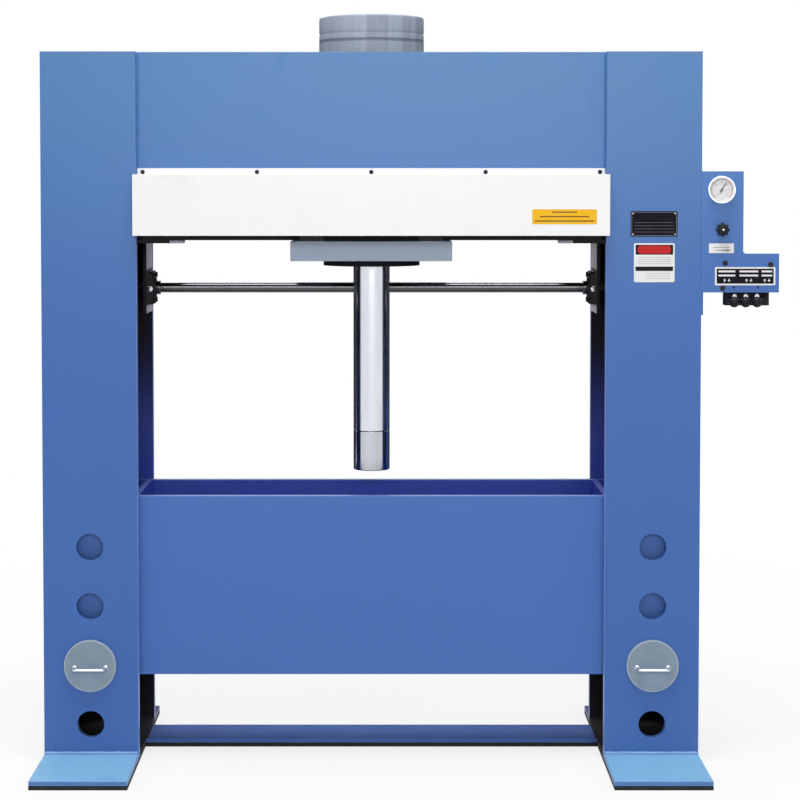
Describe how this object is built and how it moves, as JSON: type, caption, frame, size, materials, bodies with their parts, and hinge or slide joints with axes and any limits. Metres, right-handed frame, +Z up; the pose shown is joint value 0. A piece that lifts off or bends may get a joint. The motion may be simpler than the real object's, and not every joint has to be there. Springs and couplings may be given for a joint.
{
  "type": "hydraulic frame press",
  "caption": "Floor-standing hydraulic frame press: cylinder on rollers under the head, table set in height on locking pins, lever controls and a power unit behind.",
  "frame": {"origin": "on the floor, midway between the columns and in the middle of their depth", "axes": "+X towards the column with the control panel, -Y towards the operator, +Z up"},
  "size_m": [2.358, 1.278, 2.414],
  "materials": {
    "frame_blue": "satin",
    "panel_blue": "satin",
    "cover_white": "satin",
    "black_steel": "satin",
    "buffer_grey": "matt",
    "pad_rubber": "matt",
    "carriage_grey": "satin",
    "cylinder_grey": "satin",
    "chrome": "polished",
    "nose_steel": "ground",
    "cast_iron": "painted black",
    "bronze": "machined",
    "roller_steel": "turned",
    "bearing_grey": "satin",
    "fastener": "blackened",
    "shaft_steel": "blackened",
    "chain_steel": "oiled",
    "lift_barrel": "satin",
    "pin_grey": "satin",
    "handle_zinc": "zinc plated",
    "instrument_steel": "polished",
    "dial_white": "printed",
    "gauge_glass": "clear",
    "needle_black": "painted",
    "knob_black": "moulded",
    "valve_black": "painted",
    "lever_black": "polished",
    "motor_grey": "painted",
    "pump_iron": "machined",
    "breather_black": "moulded"
  },
  "bodies": {
    "frame": {"left_column": "frame_blue", "right_column": "frame_blue", "left_foot": "frame_blue", "right_foot": "frame_blue", "tie_bar": "frame_blue", "floor_pads": "pad_rubber", "head_front_plate": "frame_blue", "head_rear_plate": "frame_blue", "head_cross_plates": "frame_blue", "carriage_rails": "black_steel", "stop_plates": "black_steel", "stop_buffers": "buffer_grey", "front_cover": "cover_white", "cover_screws": "black_steel", "bearing_plates": "bearing_grey", "shaft_bearings": "cast_iron", "bearing_bolts": "fastener", "left_chain": "chain_steel", "right_chain": "chain_steel", "lift_barrel": "lift_barrel", "control_panel": "panel_blue", "gauge_case": "instrument_steel", "gauge_dial": "dial_white", "gauge_glass": "gauge_glass", "lever_valve": "valve_black", "relief_valve": "valve_black", "unit_bracket": "frame_blue", "tank": "panel_blue", "tank_lid": "panel_blue", "motor": "motor_grey", "pump": "pump_iron"},
    "table": {"table_front_plate": "frame_blue", "table_rear_plate": "frame_blue", "table_cross_plates": "frame_blue", "lift_rod": "chrome"},
    "left_pin": {"left_pin": "pin_grey", "left_pin_handle": "handle_zinc"},
    "right_pin": {"right_pin": "pin_grey", "right_pin_handle": "handle_zinc"},
    "carriage": {"carriage": "carriage_grey", "cylinder_barrel": "cylinder_grey", "cylinder_cap": "cylinder_grey", "gland_flange": "black_steel", "flange_bolts": "black_steel", "gland_bush": "bronze"},
    "left_rollers": {"left_rollers": "roller_steel"},
    "right_rollers": {"right_rollers": "roller_steel"},
    "ram": {"ram": "chrome", "ram_nose": "nose_steel", "piston": "cast_iron"},
    "cross_shaft": {"cross_shaft": "shaft_steel", "chain_wheels": "chain_steel"},
    "left_idler": {"left_idler": "chain_steel"},
    "right_idler": {"right_idler": "chain_steel"},
    "gauge_needle": {"gauge_needle": "needle_black"},
    "pressure_knob": {"pressure_knob": "knob_black"},
    "left_lever": {"left_lever": "lever_black"},
    "middle_lever": {"middle_lever": "lever_black"},
    "right_lever": {"right_lever": "lever_black"},
    "filler_cap": {"filler_cap": "breather_black"}
  },
  "joints": [
    {"name": "table_lift", "type": "slide", "parent": "frame", "child": "table", "axis": [0, 0, 1], "range_m": [0, 0.383]},
    {"name": "left_pin_slide", "type": "slide", "parent": "frame", "child": "left_pin", "axis": [0, -1, 0], "range_m": [0, 0.49]},
    {"name": "right_pin_slide", "type": "slide", "parent": "frame", "child": "right_pin", "axis": [0, -1, 0], "range_m": [0, 0.49]},
    {"name": "cylinder_traverse", "type": "slide", "parent": "frame", "child": "carriage", "axis": [1, 0, 0], "range_m": [-0.34, 0.34]},
    {"name": "left_roller_turn", "type": "hinge", "parent": "carriage", "child": "left_rollers", "pos_m": [-0.19, 0, 1.7563], "axis": [0, 1, 0], "range_deg": [-650, 650]},
    {"name": "right_roller_turn", "type": "hinge", "parent": "carriage", "child": "right_rollers", "pos_m": [0.19, 0, 1.7563], "axis": [0, 1, 0], "range_deg": [-650, 650]},
    {"name": "ram_slide", "type": "slide", "parent": "carriage", "child": "ram", "axis": [0, 0, 1], "range_m": [0, 0.5]},
    {"name": "shaft_turn", "type": "hinge", "parent": "frame", "child": "cross_shaft", "pos_m": [0, 0.146, 1.518], "axis": [1, 0, 0], "range_deg": [-425, 0]},
    {"name": "left_idler_turn", "type": "hinge", "parent": "frame", "child": "left_idler", "pos_m": [-1.012, 0.146, 0.11], "axis": [1, 0, 0], "range_deg": [-425, 0]},
    {"name": "right_idler_turn", "type": "hinge", "parent": "frame", "child": "right_idler", "pos_m": [1.012, 0.146, 0.11], "axis": [1, 0, 0], "range_deg": [-425, 0]},
    {"name": "needle_turn", "type": "hinge", "parent": "frame", "child": "gauge_needle", "pos_m": [1.117, -0.2685, 1.847], "axis": [0, 1, 0], "range_deg": [-165, 105], "stiffness_Nm_per_rad": 0.002},
    {"name": "knob_turn", "type": "hinge", "parent": "frame", "child": "pressure_knob", "pos_m": [1.12, -0.26, 1.72], "axis": [0, 1, 0], "range_deg": [-360, 360]},
    {"name": "left_lever_tilt", "type": "hinge", "parent": "frame", "child": "left_lever", "pos_m": [1.1485, -0.239, 1.492], "axis": [1, 0, 0], "range_deg": [-20, 20], "stiffness_Nm_per_rad": 6},
    {"name": "middle_lever_tilt", "type": "hinge", "parent": "frame", "child": "middle_lever", "pos_m": [1.1845, -0.239, 1.492], "axis": [1, 0, 0], "range_deg": [-20, 20], "stiffness_Nm_per_rad": 6},
    {"name": "right_lever_tilt", "type": "hinge", "parent": "frame", "child": "right_lever", "pos_m": [1.2205, -0.239, 1.492], "axis": [1, 0, 0], "range_deg": [-20, 20], "stiffness_Nm_per_rad": 6},
    {"name": "filler_cap_turn", "type": "hinge", "parent": "frame", "child": "filler_cap", "pos_m": [0.86, 0.35, 1.06], "axis": [0, 0, 1], "range_deg": [0, 90]}
  ],
  "couplings": [
    {"joint": "left_roller_turn", "follows": "cylinder_traverse", "rad_per_m": 33.333},
    {"joint": "right_roller_turn", "follows": "cylinder_traverse", "rad_per_m": 33.333},
    {"joint": "shaft_turn", "follows": "table_lift", "rad_per_m": -19.231},
    {"joint": "left_idler_turn", "follows": "table_lift", "rad_per_m": -19.231},
    {"joint": "right_idler_turn", "follows": "table_lift", "rad_per_m": -19.231}
  ]
}
